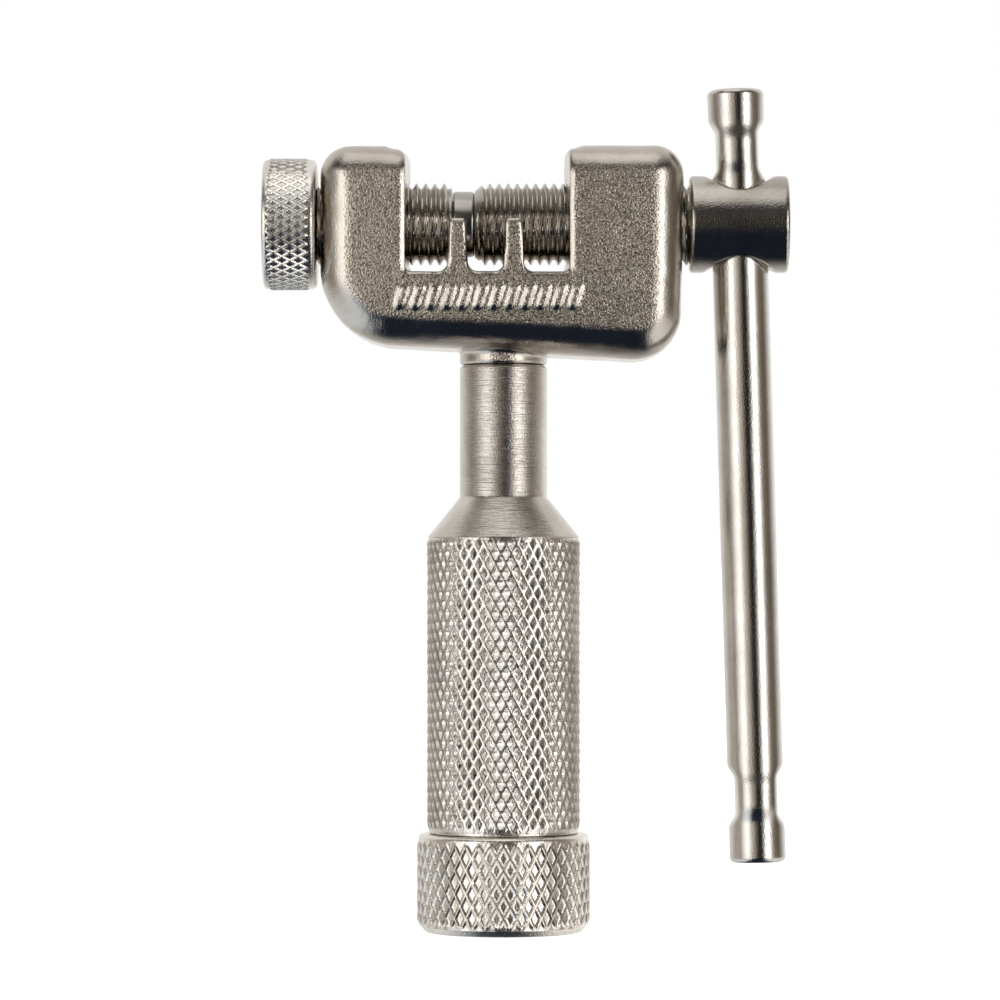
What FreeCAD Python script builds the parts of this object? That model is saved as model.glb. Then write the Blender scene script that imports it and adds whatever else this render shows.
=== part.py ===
"""Bicycle chain tool: a forged C frame with two chain cradles, a drive spindle turned by a sliding tommy bar,
an adjustable anvil screw with a knurled knob, and a hollow knurled handle closed by a screw cap.

Millimetres. +Z runs up the handle, +X points to the drive spindle's side, and the origin is the centre of the
end cap's flat foot.
"""
import FreeCAD, Part

import math
import os

import Sketcher

DIMENSIONS = {
    # end cap
    "cap_radius": 9.98,
    "cap_height": 11.3,
    "cap_floor": 3.0,
    "cap_chamfer": 0.8,
    # handle
    "grip_radius": 8.88,
    "grip_length": 34.2,
    "cone_rise": 4.6,
    "neck_radius": 5.03,
    "neck_length": 15.2,
    "spigot_radius": 7.3,
    "store_clearance": 0.25,
    "store_depth": 32.0,
    "stud_radius": 3.97,
    "stud_length": 8.0,
    "stud_chamfer": 0.5,
    # forged frame
    "frame_left": 21.1,
    "frame_right": 20.9,
    "side_lean": 0.5,
    "frame_depth": 17.0,
    "web_height": 9.6,
    "arm_rise": 14.15,
    "base_slope": 1.2,
    "slot_left": 10.7,
    "slot_right": 7.0,
    "slot_draft": 3.6,
    "boss_radius": 5.15,
    "boss_height": 1.4,
    "edge_round": 3.0,
    "top_round": 3.4,
    "mouth_round": 1.4,
    "heel_round": 9.0,
    "toe_round": 5.5,
    # chain cradles
    "tooth_width": 2.0,
    "tooth_height": 5.6,
    "tooth_set_back": 0.4,
    "holding_tooth": 5.25,
    "loosening_tooth": 1.2,
    # both screws
    "screw_rise": 5.4,
    "screw_radius": 4.76,
    "core_radius": 2.75,
    # drive spindle and its pin
    "spindle_reach": 3.2,
    "tip_radius": 3.85,
    "tip_taper": 1.1,
    "head_radius": 5.6,
    "head_length": 11.4,
    "head_gap": 0.6,
    "head_chamfer": 0.45,
    "pin_radius": 1.65,
    "pin_reach": 4.6,
    "pin_recess": 1.7,
    "pin_shoulder": 5.4,
    "pin_chamfer": 0.3,
    "ball_gap": 0.15,
    # tommy bar
    "bar_radius": 3.23,
    "bar_clearance": 0.25,
    "bar_length": 89.3,
    "bar_lean": 1.64,
    "bar_end_chamfer": 0.6,
    "crimp_length": 7.4,
    "flat_depth": 0.78,
    "flat_ramp": 1.4,
    "bulge_rise": 0.45,
    "bulge_ramp": 0.6,
    "bulge_delay": 0.6,
    "upper_inset": 3.4,
    "lower_inset": 4.0,
    # anvil screw, its nose and its knob
    "nose_radius": 3.8,
    "nose_length": 2.45,
    "nose_chamfer": 0.3,
    "nose_spigot_length": 4.6,
    "rivet_clearance": 0.3,
    "anvil_chamfer": 0.6,
    "face_gap": 0.15,
    "knob_radius": 7.6,
    "knob_length": 6.1,
    "knob_gap": 0.5,
    "knob_chamfer": 0.6,
    "knob_bore": 3.2,
    # retaining rings
    "ring_width": 0.6,
    "ring_depth": 0.35,
    # clearances
    "running": 0.05,
    "seat_gap": 0.08,
}


def fill_sheet(doc):
    sheet = doc.addObject("Spreadsheet::Sheet", "dims")
    for row, (name, size) in enumerate(DIMENSIONS.items(), start=1):
        sheet.set(f"A{row}", name)
        sheet.set(f"B{row}", str(size))
        sheet.setAlias(f"B{row}", name)
    doc.recompute()


def sized(formula):
    """An expression over the sheet: every dimension's name in the formula becomes a reference to its cell."""
    words = formula.replace("(", " ( ").replace(")", " ) ").split()
    return " ".join(f"dims.{word}" if word in DIMENSIONS else word for word in words)


# Heights above the foot, and places along the screws' axis, as formulas over the sheet
GRIP_TOP = "( cap_height + grip_length )"
NECK_BASE = f"( {GRIP_TOP} + cone_rise )"
NECK_TOP = f"( {NECK_BASE} + neck_length )"
FRAME_BASE = f"( {NECK_TOP} + boss_height )"
STORE_RADIUS = "( core_radius + store_clearance )"
SLOT_FLOOR = f"( {FRAME_BASE} + web_height )"
FRAME_TOP = f"( {SLOT_FLOOR} + arm_rise )"
SCREW_HEIGHT = f"( {SLOT_FLOOR} + screw_rise )"
HEAD_START = "( frame_right + head_gap )"
HEAD_END = f"( {HEAD_START} + head_length )"
HOLE_PLACE = f"( {HEAD_START} + head_length / 2 + 0.2 * head_chamfer )"
BALL_RADIUS = "( core_radius - ball_gap )"
PIN_SHOULDER_START = "( pin_recess - spindle_reach )"
PIN_SHOULDER_END = f"( {PIN_SHOULDER_START} + pin_shoulder )"
BALL_PLACE = f"( {PIN_SHOULDER_END} + {BALL_RADIUS} + seat_gap )"
CORE_END = f"( {BALL_PLACE} + {BALL_RADIUS} + seat_gap )"
NOSE_BORE = "( pin_radius + rivet_clearance )"
NOSE_SPIGOT_RADIUS = "( core_radius - running )"
NOSE_WAIST = f"( ( {NOSE_BORE} + {NOSE_SPIGOT_RADIUS} ) / 2 )"
NOSE_FACE = "( 0 - spindle_reach - face_gap )"
NOSE_BACK = f"( {NOSE_FACE} - nose_length )"
ANVIL_END = f"( {NOSE_BACK} - seat_gap )"
NOSE_SPIGOT_END = f"( {NOSE_BACK} - nose_spigot_length )"
KNOB_INNER = "( 0 - frame_left - knob_gap )"
KNOB_OUTER = f"( {KNOB_INNER} - knob_length )"

# The bar hangs by its upper crimp, whose bulge meets the rim of the head's hole just under the head's top
HOLE_RADIUS = "( bar_radius + bar_clearance )"
BULGE_RADIUS = "( bar_radius + bulge_rise )"
FLAT_WIDTH = "( bar_radius - flat_depth )"
STOP_HEIGHT = "( 0.85 * head_radius )"
BAR_ABOVE = f"( {STOP_HEIGHT} + crimp_length + upper_inset )"
BAR_BELOW = f"( bar_length - {BAR_ABOVE} )"

PIN_RING_PLACE = f"( {PIN_SHOULDER_START} - ring_width / 2 - 2 * running )"
NOSE_RING_PLACE = f"( {NOSE_BACK} - nose_spigot_length / 2 )"
SPARE_PINS = 2


def new_body(doc, label):
    body = doc.addObject("PartDesign::Body", label)
    body.Label = label
    return body


def new_sketch(body, name, role):
    """A sketch on one of the body's own origin planes, found by its role."""
    sketch = body.newObject("Sketcher::SketchObject", name)
    plane = next(item for item in body.Origin.OriginFeatures if item.Role == role)
    sketch.AttachmentSupport = [(plane, "")]
    sketch.MapMode = "FlatFace"
    return sketch


def bind_point(sketch, geometry, point, place):
    """Dimension a point from the sketch's origin, across and up, by two formulas."""
    for direction, formula in zip(("DistanceX", "DistanceY"), place):
        index = sketch.addConstraint(Sketcher.Constraint(direction, -1, 1, geometry, point, 1.0))
        sketch.setExpression(f"Constraints[{index}]", sized(formula))


def draw_outline(sketch, corners):
    """A closed run of straight lines through corners, each given by two formulas."""
    first = sketch.GeometryCount
    count = len(corners)
    turn = 2 * math.pi / count
    ring = [FreeCAD.Vector(math.cos(turn * i), math.sin(turn * i), 0) for i in range(count)]
    for i in range(count):
        sketch.addGeometry(Part.LineSegment(ring[i], ring[(i + 1) % count]))
    for i in range(count):
        after = first + (i + 1) % count
        sketch.addConstraint(Sketcher.Constraint("Coincident", first + i, 2, after, 1))
    for i, place in enumerate(corners):
        bind_point(sketch, first + i, 1, place)


def draw_circle(sketch, place, radius):
    circle = sketch.addGeometry(Part.Circle(FreeCAD.Vector(1, 1, 0), FreeCAD.Vector(0, 0, 1), 1))
    bind_point(sketch, circle, 3, place)
    index = sketch.addConstraint(Sketcher.Constraint("Radius", circle, 1.0))
    sketch.setExpression(f"Constraints[{index}]", sized(radius))


def revolve(body, name, corners, axis, kind="PartDesign::Revolution", angle=360):
    """Turn an outline in the body's XZ plane about the sketch's upright or level axis."""
    sketch = new_sketch(body, f"{name}_outline", "XZ_Plane")
    draw_outline(sketch, corners)
    feature = body.newObject(kind, name)
    feature.Profile = (sketch, [])
    feature.ReferenceAxis = (sketch, [axis])
    feature.Angle = angle
    return feature


def extrude(body, name, kind, sketch, length, draft=None):
    """A Pad or Pocket of equal length to both sides of its sketch, with an optional draft angle."""
    feature = body.newObject(kind, name)
    feature.Profile = (sketch, [])
    if draft is None:
        feature.SideType = "Symmetric"
        feature.setExpression("Length", sized(length))
        return feature
    feature.SideType = "Two sides"
    for side in ("", "2"):
        feature.setExpression(f"Length{side}", sized(f"( {length} ) / 2"))
        feature.setExpression(f"TaperAngle{side}", sized(draft))
    return feature


def round_edges(body, name, radius, chosen):
    """Fillet the edges of the body's last feature that the chosen test accepts."""
    base = body.Tip
    names = [f"Edge{i}" for i, edge in enumerate(base.Shape.Edges, start=1) if chosen(edge)]
    if not names:
        raise RuntimeError(f"{name}: no edge to round")
    fillet = body.newObject("PartDesign::Fillet", name)
    fillet.Base = (base, names)
    fillet.setExpression("Radius", sized(radius))
    return fillet


def place_along(item, **formulas):
    for axis, formula in formulas.items():
        item.setExpression(f"Placement.Base.{axis}", sized(formula))


def runs_in_depth(edge, corner, tolerance=0.05):
    """Whether a straight edge runs through the frame's depth at the given place in its outline."""
    middle = edge.CenterOfMass
    near = math.hypot(middle.x - corner[0], middle.z - corner[1]) < tolerance
    return near and edge.BoundBox.YLength > 1.0


def crosses_top(edge, box):
    """Whether an edge runs through the depth on the block's top face, between its two shoulders."""
    middle = edge.CenterOfMass
    on_top = abs(middle.z - box.ZMax) < 0.01 and abs(middle.x) < 0.75 * box.XMax
    return on_top and edge.BoundBox.YLength > edge.BoundBox.XLength


def frame(doc):
    """The forging: outline, rounded rim, drafted chain slot, two cradles, screw bores and a boss below."""
    body = new_body(doc, "frame")
    outline = new_sketch(body, "block_outline", "XZ_Plane")
    draw_outline(outline, [
        ("0 - frame_left", f"{FRAME_BASE} + base_slope"),
        ("frame_right - side_lean", f"{FRAME_BASE} - base_slope"),
        ("frame_right", FRAME_TOP),
        ("0 - frame_left", FRAME_TOP),
    ])
    extrude(body, "block", "PartDesign::Pad", outline, "frame_depth")
    doc.recompute()

    box = body.Shape.BoundBox
    bottoms = [(v.X, v.Z) for v in body.Shape.Vertexes if v.Z < (box.ZMin + box.ZMax) / 2]
    heel = min(bottoms)
    toe = max(bottoms)
    tops = [(box.XMin, box.ZMax), (box.XMax, box.ZMax)]
    for name, radius, corners in (
        ("heel", "heel_round", [heel]),
        ("toe", "toe_round", [toe]),
        ("shoulders", "top_round", tops),
    ):
        round_edges(body, name, radius, lambda edge: any(runs_in_depth(edge, c) for c in corners))
        doc.recompute()
    half_depth = box.YMax
    round_edges(body, "rim", "edge_round", lambda edge: abs(abs(edge.CenterOfMass.y) - half_depth) < 0.01)
    doc.recompute()

    slot = new_sketch(body, "slot_outline", "XZ_Plane")
    draw_outline(slot, [
        ("0 - slot_left", SLOT_FLOOR),
        ("slot_right", SLOT_FLOOR),
        ("slot_right", f"{FRAME_TOP} + arm_rise"),
        ("0 - slot_left", f"{FRAME_TOP} + arm_rise"),
    ])
    extrude(body, "slot", "PartDesign::Pocket", slot, "frame_depth + 2 * edge_round", "slot_draft")
    doc.recompute()
    round_edges(body, "mouth", "mouth_round", lambda edge: crosses_top(edge, box))
    doc.recompute()

    for name, centre in (("holding", "0 - holding_tooth"), ("loosening", "loosening_tooth")):
        tooth = new_sketch(body, f"{name}_tooth_outline", "XZ_Plane")
        draw_outline(tooth, [
            (f"{centre} - tooth_width / 2", f"{SLOT_FLOOR} - web_height / 4"),
            (f"{centre} + tooth_width / 2", f"{SLOT_FLOOR} - web_height / 4"),
            (f"{centre} + tooth_width / 2", f"{SLOT_FLOOR} + tooth_height"),
            (f"{centre} - tooth_width / 2", f"{SLOT_FLOOR} + tooth_height"),
        ])
        extrude(body, f"{name}_tooth", "PartDesign::Pad", tooth, "frame_depth - 2 * tooth_set_back")
    boss = new_sketch(body, "boss_outline", "XZ_Plane")
    draw_outline(boss, [
        ("0", NECK_TOP),
        ("boss_radius - seat_gap * 4", NECK_TOP),
        ("boss_radius", f"{NECK_TOP} + seat_gap * 4"),
        ("boss_radius", f"{FRAME_BASE} + boss_height"),
        ("0", f"{FRAME_BASE} + boss_height"),
    ])
    turned = body.newObject("PartDesign::Revolution", "boss")
    turned.Profile = (boss, [])
    turned.ReferenceAxis = (boss, ["V_Axis"])
    revolve(body, "stud_bore", [
        ("0", f"{NECK_TOP} - boss_height"),
        ("stud_radius + running", f"{NECK_TOP} - boss_height"),
        ("stud_radius + running", f"{NECK_TOP} + stud_length + seat_gap"),
        ("0", f"{NECK_TOP} + stud_length + seat_gap"),
    ], "V_Axis", "PartDesign::Groove")
    bores = new_sketch(body, "screw_bores_outline", "YZ_Plane")
    draw_circle(bores, ("0", SCREW_HEIGHT), "screw_radius + running")
    extrude(body, "screw_bores", "PartDesign::Pocket", bores, "2 * ( frame_left + frame_right )")
    return body


def handle(doc):
    """One turned piece: threaded stud, neck, cone, knurled grip, and a hollow threaded spigot for the cap."""
    body = new_body(doc, "handle")
    revolve(body, "turned", [
        ("0", "cap_floor + seat_gap + store_depth"),
        (STORE_RADIUS, "cap_floor + seat_gap + store_depth"),
        (STORE_RADIUS, "cap_floor + 3 * seat_gap"),
        ("spigot_radius - 4 * seat_gap", "cap_floor + 3 * seat_gap"),
        ("spigot_radius", "cap_floor + 7 * seat_gap"),
        ("spigot_radius", "cap_height + seat_gap"),
        ("grip_radius - 4 * seat_gap", "cap_height + seat_gap"),
        ("grip_radius", "cap_height + 5 * seat_gap"),
        ("grip_radius", GRIP_TOP),
        ("neck_radius", NECK_BASE),
        ("neck_radius", f"{NECK_TOP} - 3 * seat_gap"),
        ("neck_radius - 3 * seat_gap", NECK_TOP),
        ("stud_radius", NECK_TOP),
        ("stud_radius", f"{NECK_TOP} + stud_length - stud_chamfer"),
        ("stud_radius - stud_chamfer", f"{NECK_TOP} + stud_length"),
        ("0", f"{NECK_TOP} + stud_length"),
    ], "V_Axis")
    return body


def end_cap(doc):
    """A cup with a flat foot that screws over the handle's spigot."""
    body = new_body(doc, "end_cap")
    revolve(body, "turned", [
        ("0", "0"),
        ("cap_radius - cap_chamfer", "0"),
        ("cap_radius", "cap_chamfer"),
        ("cap_radius", "cap_height - 0.6 * cap_chamfer"),
        ("cap_radius - 0.6 * cap_chamfer", "cap_height"),
        ("spigot_radius + running", "cap_height"),
        ("spigot_radius + running", "cap_floor"),
        ("0", "cap_floor"),
    ], "V_Axis")
    return body


def pin_outline():
    """A push pin lying along its axis, from its shoulder's back face towards its tip."""
    tip = "( pin_shoulder + pin_recess + pin_reach )"
    return [
        ("0", "0"),
        ("0", "core_radius - running"),
        ("pin_shoulder", "core_radius - running"),
        ("pin_shoulder", "pin_radius"),
        (f"{tip} - pin_chamfer", "pin_radius"),
        (tip, "pin_radius - pin_chamfer"),
        (tip, "0"),
    ]


def drive_pin(doc):
    """The hardened pin that pushes the rivet; it slides with the spindle and does not turn."""
    body = new_body(doc, "drive_pin")
    revolve(body, "turned", pin_outline(), "H_Axis")
    place_along(body, x=PIN_SHOULDER_END, z=SCREW_HEIGHT)
    body.Placement.Rotation = FreeCAD.Rotation(FreeCAD.Vector(0, 0, 1), 180)
    return body


def spare_drive_pins(doc):
    """Two spare pins standing one on the other in the handle's store."""
    pins = []
    for order in range(SPARE_PINS):
        pin = new_body(doc, f"spare_pin_{order + 1}")
        revolve(pin, "turned", pin_outline(), "H_Axis")
        pin.Placement.Rotation = FreeCAD.Rotation(FreeCAD.Vector(0, 1, 0), -90)
        length = "( pin_shoulder + pin_recess + pin_reach + seat_gap )"
        place_along(pin, z=f"cap_floor + {order} * {length}")
        pins.append(pin)
    group = doc.addObject("Part::Compound", "spare_drive_pins")
    group.Label = "spare_drive_pins"
    group.Links = pins
    return group


def thrust_ball(doc):
    """The ball that the spindle bears on when it pushes the pin."""
    ball = doc.addObject("Part::Sphere", "thrust_ball")
    ball.Label = "thrust_ball"
    ball.setExpression("Radius", sized(BALL_RADIUS))
    place_along(ball, x=BALL_PLACE, z=SCREW_HEIGHT)
    return ball


def retaining_ring(doc, label, groove_place, shaft_radius):
    """A split ring of square section, sprung into a groove of the bore and clear of the piece it keeps in."""
    body = new_body(doc, label)
    inner = f"{shaft_radius} + 2 * running"
    outer = "core_radius + ring_depth"
    split = 30
    revolve(body, "ring", [
        ("0 - ring_width / 2", inner),
        ("ring_width / 2", inner),
        ("ring_width / 2", outer),
        ("0 - ring_width / 2", outer),
    ], "H_Axis", angle=360 - split)
    place_along(body, x=groove_place, z=SCREW_HEIGHT)
    return body


def ring_groove(body, groove_place):
    """The groove that a retaining ring springs into, from the bore outwards."""
    for_ring = "ring_width / 2 + running"
    revolve(body, "ring_groove", [
        (f"{groove_place} - ( {for_ring} )", "core_radius - 2 * running"),
        (f"{groove_place} + {for_ring}", "core_radius - 2 * running"),
        (f"{groove_place} + {for_ring}", "core_radius + ring_depth"),
        (f"{groove_place} - ( {for_ring} )", "core_radius + ring_depth"),
    ], "H_Axis", "PartDesign::Groove")


def drive_spindle(doc):
    """The driving screw: a tapered tip bored for the pin, a threaded shank, and a head crossed by the bar's hole."""
    body = new_body(doc, "drive_spindle")
    revolve(body, "turned", [
        (CORE_END, "0"),
        (CORE_END, "core_radius"),
        ("0 - spindle_reach", "core_radius"),
        ("0 - spindle_reach", "tip_radius"),
        ("tip_taper - spindle_reach", "screw_radius"),
        (HEAD_START, "screw_radius"),
        (HEAD_START, "head_radius - head_chamfer"),
        (f"{HEAD_START} + head_chamfer", "head_radius"),
        (f"{HEAD_END} - head_chamfer", "head_radius"),
        (HEAD_END, "head_radius - head_chamfer"),
        (HEAD_END, "0"),
    ], "H_Axis")
    ring_groove(body, PIN_RING_PLACE)
    hole = new_sketch(body, "bar_hole_outline", "XY_Plane")
    draw_circle(hole, (HOLE_PLACE, "0"), HOLE_RADIUS)
    extrude(body, "bar_hole", "PartDesign::Pocket", hole, "4 * head_radius")
    place_along(body, z=SCREW_HEIGHT)
    return body


def tommy_bar(doc):
    """A sliding round bar, pinched flat near each end so that its bulges stop it at the head's hole."""
    body = new_body(doc, "tommy_bar")
    lower_half = []
    upper_half = []
    flats = []
    for half, side, reach, inset in (
        (lower_half, "0 -", BAR_BELOW, "lower_inset"),
        (upper_half, "0 +", BAR_ABOVE, "upper_inset"),
    ):
        outer = f"( {reach} - {inset} )"
        inner = f"( {outer} - crimp_length )"
        half += [(radius, f"{side} {height}") for height, radius in (
            (f"( {inner} + bulge_delay )", "bar_radius"),
            (f"( {inner} + bulge_delay + bulge_ramp )", BULGE_RADIUS),
            (f"( {outer} - bulge_delay - bulge_ramp )", BULGE_RADIUS),
            (f"( {outer} - bulge_delay )", "bar_radius"),
            (f"( {reach} - bar_end_chamfer )", "bar_radius"),
            (reach, "bar_radius - bar_end_chamfer"),
            (reach, "0"),
        )]
        for hand in ("0 -", "0 +"):
            flats.append([(f"{hand} {across}", f"{side} {height}") for across, height in (
                (f"2 * {BULGE_RADIUS}", inner),
                ("bar_radius", inner),
                (FLAT_WIDTH, f"( {inner} + flat_ramp )"),
                (FLAT_WIDTH, f"( {outer} - flat_ramp )"),
                ("bar_radius", outer),
                (f"2 * {BULGE_RADIUS}", outer),
            )])
    revolve(body, "turned", lower_half[::-1] + upper_half, "V_Axis")
    sketch = new_sketch(body, "flats_outline", "XZ_Plane")
    for flat in flats:
        draw_outline(sketch, flat)
    extrude(body, "flats", "PartDesign::Pocket", sketch, f"4 * {BULGE_RADIUS}")
    body.setExpression("Placement.Rotation", "rotation(vector(0; 1; 0); 0 deg - dims.bar_lean * 1 deg)")
    place_along(body, x=HOLE_PLACE, z=SCREW_HEIGHT)
    return body


def anvil_screw(doc):
    """The adjusting screw: a bore for the nose at one end and a plain spigot for the knob at the other."""
    body = new_body(doc, "anvil_screw")
    revolve(body, "turned", [
        (KNOB_OUTER, "0"),
        (KNOB_OUTER, "knob_bore"),
        (KNOB_INNER, "knob_bore"),
        (KNOB_INNER, "screw_radius"),
        (f"{ANVIL_END} - anvil_chamfer", "screw_radius"),
        (ANVIL_END, "screw_radius - anvil_chamfer"),
        (ANVIL_END, "core_radius"),
        (f"{NOSE_SPIGOT_END} - seat_gap", "core_radius"),
        (f"{NOSE_SPIGOT_END} - seat_gap - 0.7 * core_radius", "0"),
    ], "H_Axis")
    ring_groove(body, NOSE_RING_PLACE)
    place_along(body, z=SCREW_HEIGHT)
    return body


def anvil_knob(doc):
    """The round knurled knob pressed on the anvil screw's spigot."""
    body = new_body(doc, "anvil_knob")
    revolve(body, "turned", [
        (KNOB_OUTER, "knob_bore"),
        (KNOB_INNER, "knob_bore"),
        (KNOB_INNER, "knob_radius - knob_chamfer"),
        (f"{KNOB_INNER} - knob_chamfer", "knob_radius"),
        (f"{KNOB_OUTER} + knob_chamfer", "knob_radius"),
        (KNOB_OUTER, "knob_radius - knob_chamfer"),
    ], "H_Axis")
    place_along(body, z=SCREW_HEIGHT)
    return body


def anvil_nose(doc):
    """The smooth nose that backs the chain's plate; its bore takes the rivet and the drive pin's tip."""
    body = new_body(doc, "anvil_nose")
    for_ring = "ring_width / 2 + 2 * running"
    revolve(body, "turned", [
        (NOSE_FACE, NOSE_BORE),
        (NOSE_FACE, "nose_radius - nose_chamfer"),
        (f"{NOSE_FACE} - nose_chamfer", "nose_radius"),
        (NOSE_BACK, "nose_radius"),
        (NOSE_BACK, NOSE_SPIGOT_RADIUS),
        (f"{NOSE_RING_PLACE} + {for_ring}", NOSE_SPIGOT_RADIUS),
        (f"{NOSE_RING_PLACE} + {for_ring}", NOSE_WAIST),
        (f"{NOSE_RING_PLACE} - ( {for_ring} )", NOSE_WAIST),
        (f"{NOSE_RING_PLACE} - ( {for_ring} )", NOSE_SPIGOT_RADIUS),
        (NOSE_SPIGOT_END, NOSE_SPIGOT_RADIUS),
        (NOSE_SPIGOT_END, NOSE_BORE),
    ], "H_Axis")
    place_along(body, z=SCREW_HEIGHT)
    return body


def build(doc):
    """Every sub-part of the tool, one document object for each exported node."""
    fill_sheet(doc)
    return [
        frame(doc),
        handle(doc),
        end_cap(doc),
        spare_drive_pins(doc),
        drive_spindle(doc),
        drive_pin(doc),
        thrust_ball(doc),
        retaining_ring(doc, "pin_retaining_ring", PIN_RING_PLACE, "pin_radius"),
        tommy_bar(doc),
        anvil_screw(doc),
        anvil_knob(doc),
        anvil_nose(doc),
        retaining_ring(doc, "nose_retaining_ring", NOSE_RING_PLACE, NOSE_WAIST),
    ]


def main():
    doc = FreeCAD.newDocument("chain_tool")
    nodes = build(doc)
    doc.recompute()
    failed = [item.Label for item in doc.Objects if {"Invalid", "Error"} & set(item.State)]
    if failed:
        raise RuntimeError(f"these objects did not build: {failed}")
    for node in nodes:
        if node.Shape.isNull() or not node.Shape.isValid():
            raise RuntimeError(f"{node.Label}: no valid shape")
    os.makedirs("parts", exist_ok=True)
    for node in nodes:
        node.Shape.exportStep(f"parts/{node.Label}.step")
        box = node.Shape.BoundBox
        print(f"{node.Label}: {len(node.Shape.Solids)} solids, {node.Shape.Volume:.1f} mm3, "
              f"x {box.XMin:.2f} to {box.XMax:.2f}, y {box.YMin:.2f} to {box.YMax:.2f}, "
              f"z {box.ZMin:.2f} to {box.ZMax:.2f}")


main()
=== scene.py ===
"""Bicycle chain tool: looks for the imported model. Lengths are in millimetres, read from the CAD nodes'
boxes or named below, and each mesh is written in metres. Lengths inside materials, lights and the camera
are in metres."""
import math

import bpy
import numpy as np
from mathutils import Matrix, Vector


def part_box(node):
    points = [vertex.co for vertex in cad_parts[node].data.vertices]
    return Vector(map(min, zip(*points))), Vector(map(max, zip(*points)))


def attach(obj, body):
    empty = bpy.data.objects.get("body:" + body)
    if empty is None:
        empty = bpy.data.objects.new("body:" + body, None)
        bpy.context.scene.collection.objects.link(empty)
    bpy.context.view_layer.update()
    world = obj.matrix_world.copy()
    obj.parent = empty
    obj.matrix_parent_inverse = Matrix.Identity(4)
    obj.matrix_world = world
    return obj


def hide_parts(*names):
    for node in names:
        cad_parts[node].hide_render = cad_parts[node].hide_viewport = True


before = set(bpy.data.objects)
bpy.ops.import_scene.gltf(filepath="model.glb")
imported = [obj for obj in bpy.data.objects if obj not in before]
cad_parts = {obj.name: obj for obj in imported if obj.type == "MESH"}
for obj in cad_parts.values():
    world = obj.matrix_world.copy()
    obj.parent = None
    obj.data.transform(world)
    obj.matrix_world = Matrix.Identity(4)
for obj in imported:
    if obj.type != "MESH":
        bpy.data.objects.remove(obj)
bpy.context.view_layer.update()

MM = 0.001
SCREW_COLUMNS = 120
SMOOTH_ANGLE = math.radians(34)

# The cross screws have 24 threads to the inch. FIT is the radial clearance of a screw or pin in its bore.
PITCH = 25.4 / 24
FIT = 0.05


# Sizes read from the frame, in millimetres

def box_mm(node):
    """A node's lowest and highest corners."""
    low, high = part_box(node)
    return np.array(low) / MM, np.array(high) / MM


FRAME_LOW, FRAME_HIGH = box_mm("frame")
HANDLE_LOW, HANDLE_HIGH = box_mm("handle")
CAP_LOW, CAP_HIGH = box_mm("end_cap")
SPINDLE_LOW, SPINDLE_HIGH = box_mm("drive_spindle")
ANVIL_LOW, ANVIL_HIGH = box_mm("anvil_screw")
KNOB_LOW, KNOB_HIGH = box_mm("anvil_knob")
NOSE_LOW, NOSE_HIGH = box_mm("anvil_nose")
PIN_LOW, PIN_HIGH = box_mm("drive_pin")
SCREW_Z = (NOSE_LOW[2] + NOSE_HIGH[2]) / 2
SCREW_RADIUS = (ANVIL_HIGH[1] - ANVIL_LOW[1]) / 2
HEAD_RADIUS = (SPINDLE_HIGH[1] - SPINDLE_LOW[1]) / 2
KNOB_RADIUS = (KNOB_HIGH[1] - KNOB_LOW[1]) / 2
NOSE_RADIUS = (NOSE_HIGH[1] - NOSE_LOW[1]) / 2
CORE_RADIUS = (PIN_HIGH[1] - PIN_LOW[1]) / 2 + FIT
GRIP_RADIUS = HANDLE_HIGH[0]
CAP_RADIUS = CAP_HIGH[0]
CAP_TOP = CAP_HIGH[2]

# The handle's heights above the foot and its radii, then the frame's underside and the slot's floor
GRIP_TOP = 45.5
NECK_BASE = 50.1
NECK_TOP = 65.3
NECK_RADIUS = 5.03
STUD_RADIUS = 3.97
FRAME_BASE = 66.7
SLOT_FLOOR = 76.3

# How far the frame's front and back faces stand from its middle plane, where they are flattest
FACE_DEPTH = FRAME_HIGH[1] - 0.12

# The knob's bore, where the anvil screw's outer end is pressed in
KNOB_BORE = 3.2

# The head at the drive end
HEAD_START = 21.5
HEAD_END = SPINDLE_HIGH[0]
HOLE_X = 27.29
HOLE_RADIUS = 3.48

# The tommy bar, along its own axis from the middle of the head's hole
BAR_RADIUS = 3.23
BAR_ABOVE = 15.56
BAR_BELOW = 73.74
BAR_LEAN = math.radians(1.64)
CRIMP_LENGTH = 7.4
UPPER_CRIMP = 4.76
LOWER_CRIMP = 4.0 - BAR_BELOW


# Meshes

def add_mesh(name, points, faces, node, body, material):
    """One visible piece from points in millimetres; it stands for a CAD node and rides on its body."""
    mesh = bpy.data.meshes.new(name)
    mesh.from_pydata((np.asarray(points, dtype=float) * MM).tolist(), [], faces)
    mesh.validate()
    mesh.update()
    mesh.shade_smooth()
    mesh.set_sharp_from_angle(angle=SMOOTH_ANGLE)
    piece = bpy.data.objects.new(name, mesh)
    bpy.context.scene.collection.objects.link(piece)
    mesh.materials.append(material)
    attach(piece, body)
    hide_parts(node)
    return piece


def tube_faces(rows, columns, first=0):
    """Quads between neighbouring rings of points, each ring closed on itself."""
    faces = []
    for row in range(rows - 1):
        here = first + row * columns
        above = here + columns
        for column in range(columns):
            after = (column + 1) % columns
            faces.append((here + column, here + after, above + after, above + column))
    return faces


def turned_rings(rows, columns):
    """A ring of points about Z for each row. A row is (height, radius), and its radius may be an array
    with one value for each column."""
    angles = np.arange(columns) * 2 * np.pi / columns
    rings = []
    for height, radius in rows:
        radii = np.broadcast_to(np.asarray(radius, dtype=float), (columns,))
        heights = np.full(columns, height)
        rings.append(np.stack([radii * np.cos(angles), radii * np.sin(angles), heights], axis=1))
    return rings


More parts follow.
